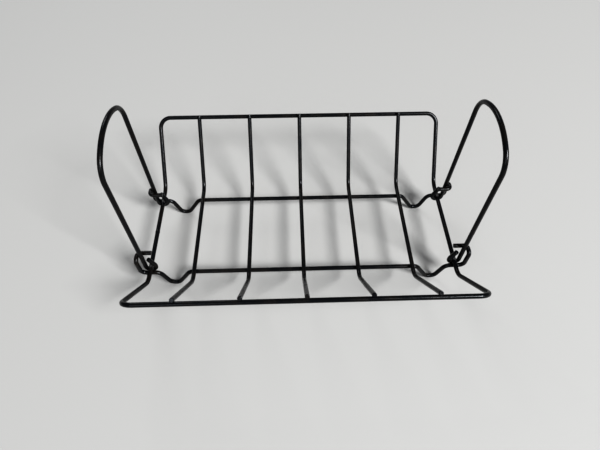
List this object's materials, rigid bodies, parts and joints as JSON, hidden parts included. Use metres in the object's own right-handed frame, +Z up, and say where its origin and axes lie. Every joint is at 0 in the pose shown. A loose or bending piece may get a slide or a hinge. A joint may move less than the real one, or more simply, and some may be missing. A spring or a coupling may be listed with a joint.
{
  "type": "roasting and cooling rack",
  "caption": "Trough-shaped rack of bent, coated round wire with an open bed, wire feet, and a bail handle at each end that stands against a stop or folds flat inside.",
  "frame": {"origin": "on the surface that the rack stands on, under the middle of the bed", "axes": "+X along the rack towards the right handle, +Y across the trough towards the back, +Z up"},
  "size_m": [0.3668, 0.255, 0.1977],
  "materials": {
    "rack_coating": "satin black non-stick coating on welded steel wire, finely uneven",
    "handle_coating": "satin black non-stick coating on bent steel wire, finely uneven, rubbed where the eyes turn"
  },
  "bodies": {
    "rack": {"perimeter_frame": "rack_coating", "cross_wire_1": "rack_coating", "cross_wire_2": "rack_coating", "cross_wire_3": "rack_coating", "cross_wire_4": "rack_coating", "cross_wire_5": "rack_coating", "foot_rail_front": "rack_coating", "foot_rail_back": "rack_coating"},
    "handle_left": {"handle_left": "handle_coating"},
    "handle_right": {"handle_right": "handle_coating"}
  },
  "joints": [
    {"name": "left_handle_fold", "type": "hinge", "parent": "rack", "child": "handle_left", "pos_m": [-0.17, 0, 0.03], "axis": [0, 1, 0], "range_deg": [0, 89.5]},
    {"name": "right_handle_fold", "type": "hinge", "parent": "rack", "child": "handle_right", "pos_m": [0.17, 0, 0.03], "axis": [0, -1, 0], "range_deg": [0, 89.5]}
  ]
}
